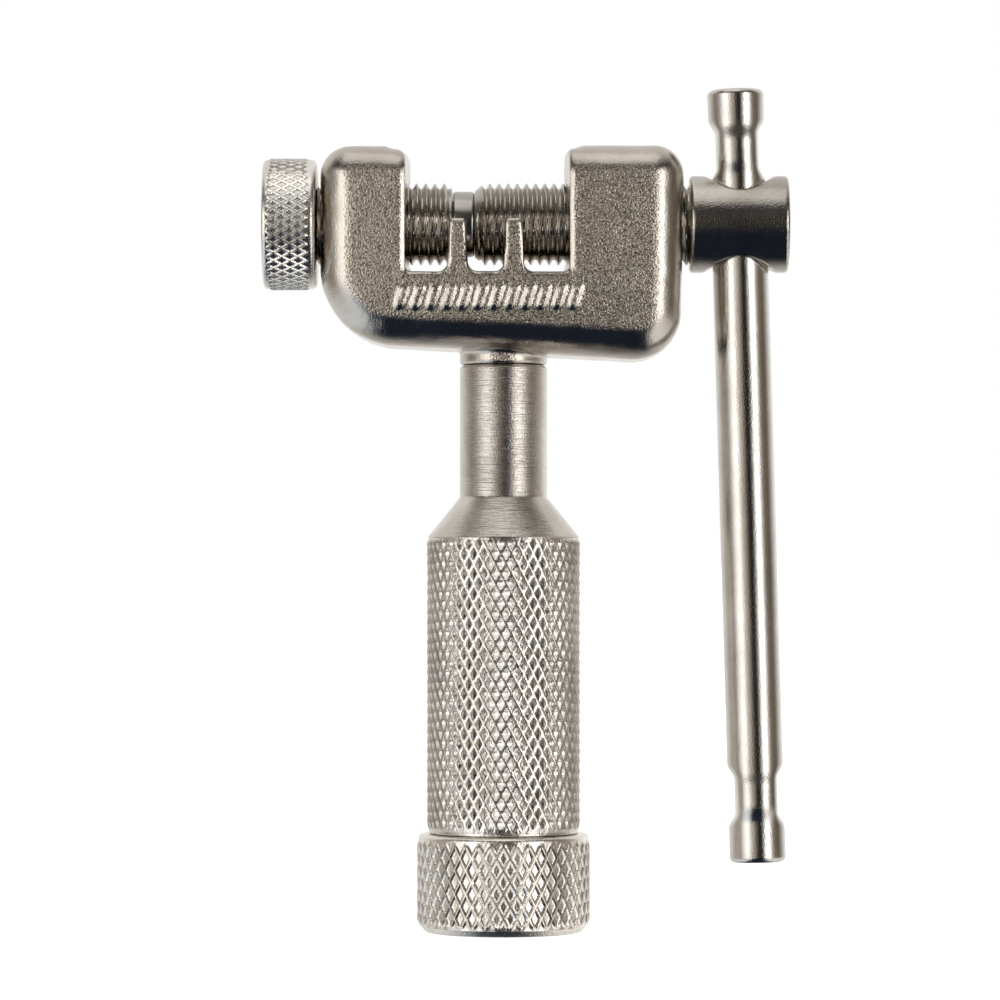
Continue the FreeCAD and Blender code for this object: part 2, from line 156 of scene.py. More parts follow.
def turned(rows, columns):
    """Points and faces of a closed turned piece. The first and last rows are points on the axis."""
    rings = turned_rings(rows[1:-1], columns)
    count = len(rings)
    start, end = count * columns, count * columns + 1
    ends = np.array([[0, 0, rows[0][0]], [0, 0, rows[-1][0]]], dtype=float)
    points = np.concatenate(rings + [ends])
    faces = tube_faces(count, columns)
    last = (count - 1) * columns
    for column in range(columns):
        after = (column + 1) % columns
        faces.append((start, after, column))
        faces.append((end, last + column, last + after))
    return points, faces


def ring_piece(rows, columns):
    """Points and faces of a turned piece with a hole right through it: its last row joins its first."""
    rings = turned_rings(rows, columns)
    faces = tube_faces(len(rings), columns)
    last = (len(rings) - 1) * columns
    for column in range(columns):
        after = (column + 1) % columns
        faces.append((last + column, last + after, after, column))
    return np.concatenate(rings), faces


def rounded(corners, steps=4):
    """A profile from (height, radius, rounding) corners, with each rounded corner drawn as an arc."""
    out = []
    for i, (height, radius, rounding) in enumerate(corners):
        here = np.array([height, radius], dtype=float)
        if rounding == 0:
            out.append(tuple(here))
            continue
        before = np.array(corners[i - 1][:2], dtype=float) - here
        after = np.array(corners[(i + 1) % len(corners)][:2], dtype=float) - here
        before /= np.linalg.norm(before)
        after /= np.linalg.norm(after)
        half = math.acos(np.clip(before @ after, -1, 1)) / 2
        reach = rounding / math.tan(half)
        inward = (before + after) / np.linalg.norm(before + after)
        centre = here + inward * rounding / math.sin(half)
        first, last = here + before * reach - centre, here + after * reach - centre
        for k in range(steps + 1):
            outward = (1 - k / steps) * first + k / steps * last
            out.append(tuple(centre + outward / np.linalg.norm(outward) * rounding))
    return out


def along_x(points, centre_z):
    """Turn a piece made about Z so that its axis lies along X at the given height."""
    x, y, z = points.T
    return np.stack([z, y, centre_z - x], axis=1)


def smooth_step(t):
    """0 up to 0, 1 from 1 on, and eased between them."""
    t = np.clip(t, 0, 1)
    return t * t * (3 - 2 * t)


def knurl_rows(low, high, radius, depth, teeth, length, fine, relief):
    """Rows of a diamond knurl between two heights, whose lines fade out at both ends. Two families of
    helical lines cross, and the grid steps so that both run along its diagonals. relief says how high the
    surface stands, from 0 to 1, at a pair of line phases."""
    columns = teeth * 2 * fine
    step = length / (2 * fine)
    count = int(round((high - low) / step))
    around = np.arange(columns) / (2 * fine)
    rows = []
    for i in range(count + 1):
        height = low + (high - low) * i / count
        rise = i / (2 * fine)
        fade = smooth_step(2 * min(i, count - i) / fine)
        rows.append((height, radius - depth * (1 - relief(around + rise, around - rise) * fade)))
    return rows, columns


def distance_to_line(phase):
    """0 on a helical line, 1 halfway to the next."""
    return np.abs(phase - np.round(phase)) * 2


def ridged(first, second):
    """Raised crossing ridges round diamond pits."""
    ridge_width = 0.42
    nearest = np.minimum(distance_to_line(first), distance_to_line(second))
    return np.clip(1 - nearest / ridge_width, 0, 1)


def bumped(first, second):
    """Raised diamond bumps between crossing lines, each line a groove with a thin ridge standing in it.
    The ridges of the first family stand higher."""
    ridge_width, high_ridge, low_ridge = 0.28, 0.7, 0.45
    groove, flank = 0.2, 0.7
    near, other = distance_to_line(first), distance_to_line(second)
    diamond = np.clip((np.minimum(near, other) - groove) / flank, 0, 1)
    ridges = np.maximum(high_ridge * (1 - near / ridge_width), low_ridge * (1 - other / ridge_width))
    return np.maximum(diamond, np.clip(ridges, 0, 1))


def thread_rows(low, high, radius, limit):
    """Rows of a right-hand V thread about Z. limit gives the largest radius at a height."""
    per_turn = 10
    depth = 0.61 * PITCH
    crest, flank_width = 0.1, 0.78
    count = int(round((high - low) / PITCH * per_turn))
    turn = np.arange(SCREW_COLUMNS) / SCREW_COLUMNS
    rows = []
    for i in range(count + 1):
        height = low + (high - low) * i / count
        away = distance_to_line(height / PITCH - turn)
        flank = np.clip((away - crest) / flank_width, 0, 1)
        rows.append((height, np.minimum(radius - depth * smooth_flank(flank), limit(height))))
    return rows


def smooth_flank(t):
    """A straight flank with a slightly rounded crest and root."""
    softness = 0.25
    return (1 - softness) * t + softness * smooth_step(t)


# Solids described by distance, negative inside

def round_max(a, b, radius):
    """Intersection of two solids with their shared edge rounded."""
    outside = np.hypot(np.maximum(a + radius, 0), np.maximum(b + radius, 0))
    return np.minimum(np.maximum(a, b), -radius) + outside


def round_min(a, b, radius):
    """Union of two solids with a fillet where they meet."""
    return -round_max(-a, -b, radius)


def outline_distance(x, z, corners):
    """Signed distance to a closed outline of straight runs, negative inside."""
    nearest = np.full(x.shape, 1e9)
    inside = np.zeros(x.shape, dtype=bool)
    for (ax, az), (bx, bz) in zip(corners, corners[1:] + corners[:1]):
        dx, dz = bx - ax, bz - az
        t = np.clip(((x - ax) * dx + (z - az) * dz) / (dx * dx + dz * dz), 0, 1)
        nearest = np.minimum(nearest, np.hypot(x - ax - t * dx, z - az - t * dz))
        crosses = (az > z) != (bz > z)
        level = az + 0.0 * z if dz == 0 else ax + (z - az) / dz * dx
        inside ^= crosses & (x < level)
    return np.where(inside, -nearest, nearest)


def lattice_noise(shape, cells, generator):
    """Smooth noise from -1 to 1: random values on a coarse lattice, eased between its points."""
    lattice = generator.uniform(-1, 1, [max(2, int(n / cells) + 3) for n in shape])
    result = lattice
    for axis, count in enumerate(shape):
        place = np.arange(count) / cells
        index = place.astype(int)
        weight = smooth_step(place - index)
        weight = weight.reshape([-1 if a == axis else 1 for a in range(3)])
        result = np.take(result, index, axis) * (1 - weight) + np.take(result, index + 1, axis) * weight
    return result


def surface_nets(field, low, step):
    """Points and quads on the zero level of a field sampled on a regular grid."""
    inside = field < 0
    shape = field.shape
    cells = tuple(n - 1 for n in shape)
    total = np.zeros(cells + (3,))
    hits = np.zeros(cells)
    corner_slices = (slice(0, -1), slice(1, None))
    for axis in range(3):
        lower = [slice(None)] * 3
        upper = [slice(None)] * 3
        lower[axis], upper[axis] = slice(0, -1), slice(1, None)
        a, b = field[tuple(lower)], field[tuple(upper)]
        crossing = inside[tuple(lower)] != inside[tuple(upper)]
        t = np.where(crossing, a / np.where(crossing, a - b, 1), 0)
        others = [k for k in range(3) if k != axis]
        for p in (0, 1):
            for q in (0, 1):
                pick = [slice(None)] * 3
                pick[others[0]], pick[others[1]] = corner_slices[p], corner_slices[q]
                hit = crossing[tuple(pick)]
                hits += hit
                total[..., axis] += np.where(hit, t[tuple(pick)], 0)
                total[..., others[0]] += np.where(hit, p, 0)
                total[..., others[1]] += np.where(hit, q, 0)
    used = hits > 0
    number = np.full(cells, -1)
    number[used] = np.arange(used.sum())
    base = np.stack(np.nonzero(used), axis=1)
    points = np.asarray(low) + (base + total[used] / hits[used][:, None]) * step
    faces = []
    for axis in range(3):
        others = [(axis + 1) % 3, (axis + 2) % 3]
        lower = [slice(1, -1)] * 3
        upper = [slice(1, -1)] * 3
        lower[axis], upper[axis] = slice(0, -1), slice(1, None)
        crossing = inside[tuple(lower)] != inside[tuple(upper)]
        where = np.stack(np.nonzero(crossing), axis=1)
        where[:, others] += 1
        starts_inside = inside[tuple(where.T)]
        ring = []
        for p, q in ((1, 1), (0, 1), (0, 0), (1, 0)):
            cell = where.copy()
            cell[:, others[0]] -= p
            cell[:, others[1]] -= q
            ring.append(number[tuple(cell.T)])
        quads = np.stack(ring, axis=1)
        quads[~starts_inside] = quads[~starts_inside][:, ::-1]
        faces += quads.tolist()
    return points, faces


def sample_grid(low, high, step):
    """A regular grid round a box, with two steps to spare on each side, and its lowest corner."""
    axes = [np.arange(a - 2 * step, b + 2.5 * step, step) for a, b in zip(low, high)]
    grids = np.meshgrid(*axes, indexing="ij")
    return grids, [axis[0] for axis in axes]


# Materials

def material(name):
    """A new material, its nodes and links, and its surface shader."""
    made = bpy.data.materials.new(name)
    made.use_nodes = True
    return made, made.node_tree.nodes, made.node_tree.links, made.node_tree.nodes["Principled BSDF"]


def node(nodes, kind, **inputs):
    """A shader node with some inputs set. An underscore in a keyword stands for a space."""
    made = nodes.new(kind)
    for key, value in inputs.items():
        made.inputs[key.replace("_", " ")].default_value = value
    return made


def noise(nodes, links, place, scale, detail):
    made = node(nodes, "ShaderNodeTexNoise", Scale=scale, Detail=detail, Roughness=0.6)
    links.new(place, made.inputs["Vector"])
    return made.outputs["Fac"]


def mapped(nodes, links, value, low, high, new_low, new_high):
    """A value moved from one range to another, and kept inside it."""
    made = nodes.new("ShaderNodeMapRange")
    links.new(value, made.inputs["Value"])
    made.inputs["From Min"].default_value = low
    made.inputs["From Max"].default_value = high
    made.inputs["To Min"].default_value = new_low
    made.inputs["To Max"].default_value = new_high
    return made.outputs["Result"]


def ramp(nodes, links, value, stops):
    """A colour read from (place, colour) stops."""
    made = nodes.new("ShaderNodeValToRGB")
    links.new(value, made.inputs["Fac"])
    elements = made.color_ramp.elements
    for (place, colour), element in zip(stops, list(elements)):
        element.position, element.color = place, (*colour, 1)
    for place, colour in stops[len(elements):]:
        elements.new(place).color = (*colour, 1)
    return made.outputs["Color"]


def blend(nodes, links, factor, first, second):
    """A mix of two colours, each given as a socket or as a plain colour. A colour mix keeps its two
    colours on inputs 6 and 7 and its result on output 2."""
    made = nodes.new("ShaderNodeMix")
    made.data_type = "RGBA"
    links.new(factor, made.inputs["Factor"])
    for socket, colour in ((made.inputs[6], first), (made.inputs[7], second)):
        if isinstance(colour, tuple):
            socket.default_value = (*colour, 1)
        else:
            links.new(colour, socket)
    return made.outputs[2]


def bump(nodes, links, height, distance, under=None):
    """A normal from a height, over the normal of another bump where one is given."""
    made = node(nodes, "ShaderNodeBump", Strength=1.0, Distance=distance)
    links.new(height, made.inputs["Height"])
    if under is not None:
        links.new(under, made.inputs["Normal"])
    return made.outputs["Normal"]


def stretched(nodes, links, place, scale):
    """A place scaled by its own amount along each axis."""
    made = nodes.new("ShaderNodeMapping")
    made.inputs["Scale"].default_value = scale
    links.new(place, made.inputs["Vector"])
    return made.outputs["Vector"]


def plated(name, dark, light, roughness, grain, lines=None):
    """Nickel plate over steel. grain is (noise scale, bump in metres) of its fine skin, and lines is
    (stretch, bump in metres) of the turning marks left under the plate."""
    made, nodes, links, surface = material(name)
    place = nodes.new("ShaderNodeTexCoord").outputs["Object"]
    cloud = noise(nodes, links, place, 160, 4)
    links.new(ramp(nodes, links, cloud, [(0.35, dark), (0.65, light)]), surface.inputs["Base Color"])
    surface.inputs["Metallic"].default_value = 1.0
    scuffs = noise(nodes, links, place, 900, 3)
    links.new(mapped(nodes, links, scuffs, 0.3, 0.7, *roughness), surface.inputs["Roughness"])
    skin = bump(nodes, links, noise(nodes, links, place, grain[0], 2), grain[1])
    if lines is not None:
        marks = noise(nodes, links, stretched(nodes, links, place, lines[0]), 1, 2)
        skin = bump(nodes, links, marks, lines[1], under=skin)
    links.new(skin, surface.inputs["Normal"])
    return made


def forged(name):
    """The frame's plate: polished round edges, and blasted grain where it faces the front or back. How far
    it does is the size of its normal's Y, and the grain comes in between two values of that. The grain's
    colour is darkened in its pits as painted shade."""
    made, nodes, links, surface = material(name)
    place = nodes.new("ShaderNodeTexCoord").outputs["Object"]
    facing = nodes.new("ShaderNodeSeparateXYZ")
    links.new(nodes.new("ShaderNodeNewGeometry").outputs["Normal"], facing.inputs["Vector"])
    across = nodes.new("ShaderNodeMath")
    across.operation = "ABSOLUTE"
    links.new(facing.outputs["Y"], across.inputs[0])
    grain_from, grain_full = 0.93, 0.985
    flat = mapped(nodes, links, across.outputs["Value"], grain_from, grain_full, 0, 1)
    cloud = noise(nodes, links, place, 120, 4)
    grain = noise(nodes, links, place, 4600, 2)
    plate = ramp(nodes, links, cloud, [(0.35, (0.50, 0.455, 0.405)), (0.65, (0.60, 0.56, 0.51))])
    # The grain's own speckled tone, with painted shade: dark where its bump sinks into pits, light on its
    # peaks.
    grain_tone_and_pit_shade = ramp(nodes, links, grain, [(0.34, (0.24, 0.21, 0.175)), (0.52, (0.84, 0.755, 0.65))])
    links.new(blend(nodes, links, flat, plate, grain_tone_and_pit_shade), surface.inputs["Base Color"])
    surface.inputs["Metallic"].default_value = 1.0
    links.new(mapped(nodes, links, flat, 0, 1, 0.15, 0.22), surface.inputs["Roughness"])
    peel = bump(nodes, links, noise(nodes, links, place, 4500, 2), 0.00003)
    blasted = node(nodes, "ShaderNodeBump", Distance=0.00007)
    links.new(grain, blasted.inputs["Height"])
    links.new(flat, blasted.inputs["Strength"])
    links.new(peel, blasted.inputs["Normal"])
    links.new(blasted.outputs["Normal"], surface.inputs["Normal"])
    return made


GRIP_LINES = ((1300, 1300, 1300), 0.00008)
TURNED_LINES = ((250, 250, 7000), 0.00006)
FORGED = forged("forged_nickel")
GRIP = plated(
    "grip_nickel", (0.68, 0.64, 0.595), (0.86, 0.81, 0.76),
    (0.18, 0.27), (4500, 0.00003), GRIP_LINES,
)
TURNED = plated(
    "turned_nickel", (0.54, 0.50, 0.45), (0.68, 0.64, 0.59),
    (0.15, 0.24), (5000, 0.00003), TURNED_LINES,
)
CAP_PLATE = plated(
    "cap_nickel", (0.76, 0.71, 0.65), (0.94, 0.89, 0.82),
    (0.18, 0.3), (4500, 0.00004),
)
KNOB_PLATE = plated(
    "knob_nickel", (0.72, 0.68, 0.63), (0.90, 0.87, 0.82),
    (0.18, 0.3), (4500, 0.00004),
)
SCREW_STEEL = plated(
    "screw_steel", (0.40, 0.37, 0.33), (0.56, 0.53, 0.48),
    (0.10, 0.18), (4500, 0.00003),
)
BRIGHT_BAR = plated(
    "bright_bar", (0.55, 0.52, 0.48), (0.66, 0.63, 0.59),
    (0.08, 0.15), (5000, 0.000022),
)
SMOOTH_STEEL = plated(
    "smooth_steel", (0.40, 0.385, 0.36), (0.50, 0.48, 0.455),
    (0.14, 0.24), (2500, 0.000006),
)
HARD_STEEL = plated(
    "hard_steel", (0.28, 0.27, 0.26), (0.40, 0.39, 0.37),
    (0.18, 0.3), (2500, 0.000006),
)
SPRING_STEEL = plated(
    "spring_steel", (0.10, 0.10, 0.11), (0.16, 0.16, 0.17),
    (0.3, 0.45), (2500, 0.000006),
)


# The forged frame

def forged_outline():
    """The C frame's outer outline, without its slot, as one run of points with arcs at its corners."""
    left, right, top = FRAME_LOW[0], FRAME_HIGH[0], FRAME_HIGH[2]
    slope, lean = 1.2, 0.5
    corners = [
        (left, FRAME_BASE + slope, 9.0),
        (right - lean, FRAME_BASE - slope, 5.5),
        (right, top, 3.4),
        (left, top, 3.4),
    ]
    return rounded(corners, 12)


def slot_outline(top):
    """The chain slot at mid-depth, flared where it opens at the arms' tops."""
    left, right = -10.7, 7.0
    left_round, right_round = 1.9, 1.1
    above, steps = top + 20, 8
    turns = [math.pi / 2 * k / steps for k in range(steps + 1)]
    quarter = [(1 - math.cos(turn), 1 - math.sin(turn)) for turn in turns]
    outline = [(left, SLOT_FLOOR), (right, SLOT_FLOOR)]
    outline += [(right + right_round * out, top - right_round * down) for out, down in quarter]
    outline += [(right + right_round, above), (left - left_round, above)]
    outline += [(left - left_round * out, top - left_round * down) for out, down in reversed(quarter)]
    return outline


def face_crown(x, z):
    """How far the front and back faces fall away from flat, towards the sides and below the slot."""
    flattest_x, sideways = 5, 0.0018
    roll_start, rolling = SLOT_FLOOR + 2, 0.0075
    return sideways * (x - flattest_x) ** 2 + rolling * np.maximum(roll_start - z, 0) ** 2


def relief_ribs(x, y, z):
    """A row of short slanted raised ribs on the front of the web."""
    first, last, count = -11.6, 8.2, 12
    middle, half_height, half_width, slant = 72.9, 1.35, 0.5, 0.32
    raised, edge = 0.22, 0.2
    nearest = np.full(x.shape, 1e9)
    for k in range(count):
        centre = first + (last - first) * k / (count - 1)
        lean = slant * (z - middle)
        along = np.maximum(np.abs(z - middle) - half_height + half_width, 0)
        nearest = np.minimum(nearest, np.hypot(x - centre - lean, along) - half_width)
    from_face = np.abs(y + FACE_DEPTH - face_crown(x, z))
    return round_max(nearest, from_face - raised, edge)


def cradle_teeth(x, z, slot, flare):
    """The slot's space with its teeth taken out of it. Each tooth widens downwards."""
    tooth_top, tip_round, side_round = SLOT_FLOOR + 5.6, 0.45, 0.55
    half_width = 1.0 + 0.04 * (tooth_top - z)
    toothed = slot
    for centre in (-5.25, 1.2):
        tooth = round_max(np.abs(x - centre) - half_width, z - tooth_top, tip_round)
        toothed = round_max(toothed, flare - tooth, side_round)
    return toothed


def handle_boss(x, y, z):
    """The short round boss under the web, which the handle's shoulder meets."""
    radius, edge, overlap = 5.1, 0.45, 2
    boss = round_max(np.hypot(x, y) - radius, NECK_TOP - z, edge)
    return np.maximum(boss, z - FRAME_BASE - overlap)


def forged_frame():
    """The forging: a block with the slot, teeth, boss, ribs and bores. Its skin is slightly wavy, and
    sunk a little so that the waves add next to nothing to its size."""
    step, stud_depth, sunk = 0.25, 8.05, 0.05
    face_round, slot_edge, cradle_edge, cradle_inset = 3.7, 0.85, 0.4, 0.12
    boss_fillet, rib_fillet, bore_edge = 0.4, 0.25, 0.3
    (x, y, z), origin = sample_grid(FRAME_LOW, FRAME_HIGH, step)
    level_x, level_z = x[:, 0, :], z[:, 0, :]
    outline = outline_distance(level_x, level_z, forged_outline())[:, None, :]
    slot = outline_distance(level_x, level_z, slot_outline(FRAME_HIGH[2]))[:, None, :]
    block = round_max(outline + 0 * y, np.abs(y) - FACE_DEPTH + face_crown(x, z), face_round)
    flare = math.tan(math.radians(3.6)) * np.abs(y)
    body = round_max(block, flare - slot, slot_edge)
    cradles = round_max(block + cradle_inset, flare - cradle_teeth(x, z, slot, flare), cradle_edge)
    body = np.minimum(body, cradles)
    body = round_min(body, handle_boss(x, y, z), boss_fillet)
    body = round_min(body, relief_ribs(x, y, z), rib_fillet)
    bore = SCREW_RADIUS + FIT - np.hypot(y, z - SCREW_Z)
    body = round_max(body, bore, bore_edge)
    stud_bore = np.maximum(np.hypot(x, y) - STUD_RADIUS - FIT, z - NECK_TOP - stud_depth)
    body = np.maximum(body, -stud_bore)

    generator = np.random.default_rng(11)
    for swell, cells in ((0.035, 9), (0.02, 4)):
        body += swell * lattice_noise(x.shape, cells, generator)
    points, faces = surface_nets(body + sunk, origin, step)
    add_mesh("forged_frame", points, faces, "frame", "body", FORGED)


# The handle and its cap

def handle():
    """The handle: store and spigot below, knurled grip, cone, neck and stud, with a plain turned finish
    above the knurl."""
    fine, teeth, length, depth = 5, 43, 2.28, 0.25
    gap, knurl_start, knurl_end = CAP_TOP + 0.08, CAP_TOP + 0.35, GRIP_TOP - 0.1
    knurl, columns = knurl_rows(knurl_start, knurl_end, GRIP_RADIUS, depth, teeth, length, fine, bumped)
    store, spigot, low, chamfer = 3.0, 7.3, HANDLE_LOW[2], 0.25
    store_end, root = low + 32, GRIP_RADIUS - depth
    lower = rounded([
        (store_end, 0.0, 0), (store_end, store, 0.4), (low, store, 0.25), (low, spigot, 0.5),
        (gap, spigot, 0), (gap, root, 0.1), (knurl_start, root, 0),
    ])
    upper = rounded([
        (GRIP_TOP, GRIP_RADIUS - 0.5 * depth, 0), (NECK_BASE, NECK_RADIUS, 0.5),
        (NECK_TOP - chamfer, NECK_RADIUS, 0.15), (NECK_TOP, NECK_RADIUS - chamfer, 0),
        (NECK_TOP, STUD_RADIUS, 0), (HANDLE_HIGH[2], STUD_RADIUS, 0.5), (HANDLE_HIGH[2], 0.0, 0),
    ])
    points, faces = turned(lower + knurl + upper, columns)
    piece = add_mesh("knurled_handle", points, faces, "handle", "body", GRIP)
    piece.data.materials.append(TURNED)
    for polygon in piece.data.polygons:
        if polygon.center.z > knurl_end * MM:
            polygon.material_index = 1


def end_cap():
    """The cap, a knurled cup with a chamfered foot and a plain lip."""
    fine, teeth, length, depth = 7, 42, 2.76, 0.22
    lip, edge = 0.55, 0.75
    knurl, columns = knurl_rows(edge, CAP_TOP - lip, CAP_RADIUS, depth, teeth, length, fine, ridged)
    bore, cup_floor, lip_radius = 7.35, 3.0, CAP_RADIUS - 0.12
    foot = rounded([(0.0, 0.0, 0), (0.0, CAP_RADIUS - 0.95, 0.4), (edge, CAP_RADIUS - 0.3, 0)])
    mouth = rounded([
        (CAP_TOP - lip, lip_radius, 0), (CAP_TOP, lip_radius, 0.5), (CAP_TOP, bore, 0.3),
        (cup_floor, bore, 0.3), (cup_floor, 0.0, 0),
    ])
    points, faces = turned(foot + knurl + mouth, columns)
    add_mesh("knurled_cap", points, faces, "end_cap", "cap", CAP_PLATE)


# The anvil side

def anvil_knob():
    """The knob, pressed on the anvil screw, with a shallow recess round the screw's end."""
    fine, teeth, length, depth = 7, 45, 1.86, 0.18
    outer, inner = KNOB_LOW[0], KNOB_HIGH[0]
    knurl_start, knurl_end, recess = outer + 0.45, inner - 0.7, outer + 0.5
    rim = KNOB_RADIUS - 0.1
    knurl, columns = knurl_rows(knurl_start, knurl_end, KNOB_RADIUS, depth, teeth, length, fine, ridged)
    face = rounded([
        (inner, KNOB_BORE, 0), (recess, KNOB_BORE, 0), (recess, KNOB_BORE + 0.6, 0.1),
        (outer, KNOB_BORE + 1.0, 0.2), (outer, KNOB_RADIUS - 0.25, 0.35),
        (knurl_start, KNOB_RADIUS - 0.12, 0),
    ])
    back = rounded([(knurl_end, rim, 0), (inner, rim, 0.55), (inner, KNOB_BORE, 0)])
    points, faces = ring_piece(face + knurl + back, columns)
    add_mesh("knurled_knob", along_x(points, SCREW_Z), faces,
             "anvil_knob", "anvil", KNOB_PLATE)


def anvil_screw():
    """The screw, with a spigot in the knob and a drilled bore for the nose's spigot."""
    end, end_chamfer, taper = ANVIL_HIGH[0], 0.75, 1.1
    knob_face, knob_end = KNOB_HIGH[0], KNOB_LOW[0] + 0.15
    runout, root = 0.2, 4.1
    bore_end, drill_end = end - 4.75, end - 6.5

    def limit(height):
        return min(SCREW_RADIUS, SCREW_RADIUS - end_chamfer + (end - height) * taper)

    thread = thread_rows(knob_face + runout, end - 0.02, SCREW_RADIUS, limit)
    spigot = rounded([
        (knob_end, 0.0, 0), (knob_end, KNOB_BORE, 0.3), (knob_face, KNOB_BORE, 0), (knob_face, root, 0),
    ])
    core = rounded([
        (end, 3.95, 0), (end, CORE_RADIUS, 0.15), (bore_end, CORE_RADIUS, 0), (drill_end, 0.0, 0),
    ])
    points, faces = turned(spigot + thread + core, SCREW_COLUMNS)
    add_mesh("anvil_screw_thread", along_x(points, SCREW_Z), faces,
             "anvil_screw", "anvil", SCREW_STEEL)


def anvil_nose():
    """The nose: a smooth disc with a bore for the rivet, on a spigot with a groove for its ring."""
    face, back, spigot_end = NOSE_HIGH[0], NOSE_HIGH[0] - 2.45, NOSE_LOW[0]
    bore, spigot, waist, groove = 1.95, 2.7, 2.325, 0.4
    ring = back - 2.3
    rows = rounded([
        (face, bore, 0), (face, NOSE_RADIUS, 0.35), (back, NOSE_RADIUS, 0.25), (back, spigot, 0.05),
        (ring + groove, spigot, 0), (ring + groove, waist, 0), (ring - groove, waist, 0),
        (ring - groove, spigot, 0), (spigot_end, spigot, 0.3), (spigot_end, bore, 0),
    ])
    points, faces = ring_piece(rows[::-1], SCREW_COLUMNS)
    add_mesh("anvil_nose_turned", along_x(points, SCREW_Z), faces,
             "anvil_nose", "nose", SMOOTH_STEEL)


# The drive side

def drive_spindle():
    """The screw and its head. The tip stands out by reach, so that no light shows between it and the
    nose, and the thread runs on into the head."""
    reach, tip_radius, taper = 0.12, 3.85, 0.83
    tip, core_end = SPINDLE_LOW[0] - reach, 9.25
    buried, root = HEAD_START + 0.6, 4.0

    def limit(height):
        return min(SCREW_RADIUS, tip_radius + (height - tip) * taper)

    thread = thread_rows(tip + 0.05, buried, SCREW_RADIUS, limit)
    core = rounded([
        (core_end, 0.0, 0), (core_end, CORE_RADIUS, 0.2), (tip, CORE_RADIUS, 0.15), (tip, tip_radius, 0),
    ])
    neck = [(buried, root), (buried, 0.0)]
    screw, screw_faces = turned(core + thread + neck, SCREW_COLUMNS)
    screw = along_x(screw, SCREW_Z)
    head, head_faces = spindle_head()
    shifted = [tuple(corner + len(screw) for corner in face) for face in head_faces]
    add_mesh("drive_spindle_and_head", np.concatenate([screw, head]), screw_faces + shifted,
             "drive_spindle", "spindle", SCREW_STEEL)


def spindle_head():
    """The round head, with the bar's hole through it, rounded at both ends, and a dimple in its face."""
    step, edge, hole_round = 0.16, 0.45, 0.9
    dimple_radius, dimple_edge = 1.2, 0.1
    low = (HEAD_START, -HEAD_RADIUS, SCREW_Z - HEAD_RADIUS)
    high = (HEAD_END, HEAD_RADIUS, SCREW_Z + HEAD_RADIUS)
    (x, y, z), origin = sample_grid(low, high, step)
    middle, half = (HEAD_START + HEAD_END) / 2, (HEAD_END - HEAD_START) / 2
    barrel = round_max(np.hypot(y, z - SCREW_Z) - HEAD_RADIUS, np.abs(x - middle) - half, edge)
    dimple = dimple_radius - np.hypot(y, z - SCREW_Z) - (HEAD_END - x)
    barrel = round_max(barrel, dimple, dimple_edge)
    hole = HOLE_RADIUS - np.hypot(x - HOLE_X, y)
    return surface_nets(round_max(barrel, hole, hole_round), origin, step)


def bar_section(height, angle):
    """The bar's outline at a height on its own axis: flattened across X and bulged across Y at each
    crimp. Ramps are shares of the crimp's length. boxy says how flat the flattened sides are."""
    pinch_depth, pinch_ramp = 0.78, 0.24
    bulge_height, bulge_delay, bulge_ramp = 0.36, 0.07, 0.3
    boxy = 6
    across = deep = BAR_RADIUS
    for low in (UPPER_CRIMP, LOWER_CRIMP):
        t = (height - low) / CRIMP_LENGTH
        if 0 < t < 1:
            from_end = min(t, 1 - t)
            across = BAR_RADIUS - pinch_depth * smooth_step(from_end / pinch_ramp)
            deep = BAR_RADIUS + bulge_height * smooth_step((from_end - bulge_delay) / bulge_ramp)
    squeeze = (BAR_RADIUS / across) ** boxy - 1
    side = BAR_RADIUS * np.cos(angle) / (1 + squeeze * np.cos(angle) ** boxy) ** (1 / boxy)
    return side, deep * np.sin(angle)


def tommy_bar():
    """The bar, round with two crimps and slightly swollen rounded ends, leaning in the head's hole."""
    columns, step, arc_steps = 96, 0.3, 6
    end_round, end_length, end_radius = 0.65, 2.5, BAR_RADIUS + 0.05
    low_end, high_end = end_length - BAR_BELOW, BAR_ABOVE - end_length
    angle = np.arange(columns) * 2 * np.pi / columns
    profile = rounded([
        (-BAR_BELOW, 0.0, 0), (-BAR_BELOW, end_radius, end_round), (low_end, BAR_RADIUS, 0),
    ], arc_steps)
    straight = np.arange(low_end + step, high_end, step)
    profile += [(height, BAR_RADIUS) for height in straight]
    profile += rounded([
        (high_end, BAR_RADIUS, 0), (BAR_ABOVE, end_radius, end_round), (BAR_ABOVE, 0.0, 0),
    ], arc_steps)
    points, faces = turned(profile, columns)
    for row, (height, radius) in enumerate(profile[1:-1]):
        x, y = bar_section(height, angle)
        ring = slice(row * columns, (row + 1) * columns)
        points[ring, 0] = x * radius / BAR_RADIUS
        points[ring, 1] = y * radius / BAR_RADIUS
    x, y, z = points.T
    leaned = np.stack([
        HOLE_X + x * math.cos(BAR_LEAN) - z * math.sin(BAR_LEAN), y,
        SCREW_Z + z * math.cos(BAR_LEAN) + x * math.sin(BAR_LEAN),
    ], axis=1)
    add_mesh("crimped_tommy_bar", leaned, faces, "tommy_bar", "bar", BRIGHT_BAR)


def carried_over():
    """CAD nodes whose own shape is right get their finish."""
    finishes = {
        "drive_pin": HARD_STEEL, "thrust_ball": HARD_STEEL, "spare_drive_pins": HARD_STEEL,
        "pin_retaining_ring": SPRING_STEEL, "nose_retaining_ring": SPRING_STEEL,
    }
    for name, finish in finishes.items():
        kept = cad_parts[name]
        if not kept.material_slots:
            kept.data.materials.append(finish)
        for kept_slot in kept.material_slots:
            kept_slot.material = finish


# Floor, light and camera

def grey(level):
    """A very slightly warm grey."""
    return tuple(level * part for part in (1.0, 0.985, 0.96))


